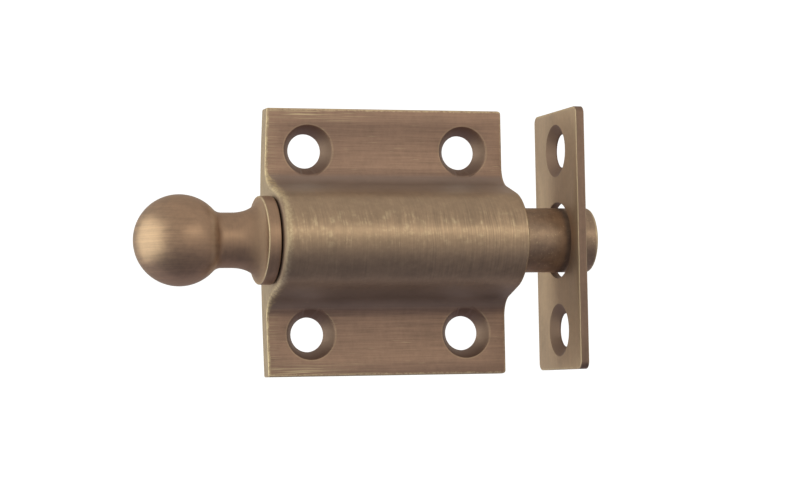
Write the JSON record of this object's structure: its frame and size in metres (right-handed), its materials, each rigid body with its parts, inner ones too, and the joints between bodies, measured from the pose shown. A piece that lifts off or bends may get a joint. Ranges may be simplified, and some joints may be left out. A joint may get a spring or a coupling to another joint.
{
  "type": "cabinet spring bolt",
  "caption": "Small brass spring bolt: ball knob pulls a round bolt back through a barrel housing on a screw plate, with a flat strike plate.",
  "frame": {"origin": "middle of the housing's flat back face, level with the bolt's axis", "axes": "+X along the bolt towards its tip, +Y out of the housing's back into the door, +Z along the height of the mounting plate"},
  "size_m": [0.0615, 0.0152, 0.035],
  "materials": {
    "aged_brass": "antiqued brown brass, brushed, worn to pale gold on its edges",
    "knob_brass": "antiqued brass, turned and polished",
    "bolt_brass": "dark mottled antiqued brass",
    "strike_brass": "antiqued olive-grey brass, faint brushing",
    "plain_brass": "plain turned brass",
    "spring_steel": "bright drawn wire and strip"
  },
  "bodies": {
    "housing": {"housing": "aged_brass", "guide_bush": "plain_brass", "return_spring": "spring_steel"},
    "spring_washer": {"spring_washer": "spring_steel"},
    "bolt": {"bolt": "bolt_brass", "spindle": "plain_brass", "knob": "knob_brass"},
    "strike_plate": {"strike_plate": "strike_brass"}
  },
  "joints": [
    {"name": "bolt_slide", "type": "slide", "parent": "housing", "child": "spring_washer", "axis": [-1, 0, 0], "range_m": [0, 0.0105], "stiffness_N_per_m": 350, "springref_m": -0.008, "deforming": ["return_spring"]},
    {"name": "bolt_turn", "type": "hinge", "parent": "spring_washer", "child": "bolt", "pos_m": [0, -0.006, 0], "axis": [1, 0, 0], "continuous": true},
    {"name": "strike_gap", "type": "slide", "parent": "housing", "child": "strike_plate", "axis": [1, 0, 0], "range_m": [-0.004, 0.012]}
  ]
}
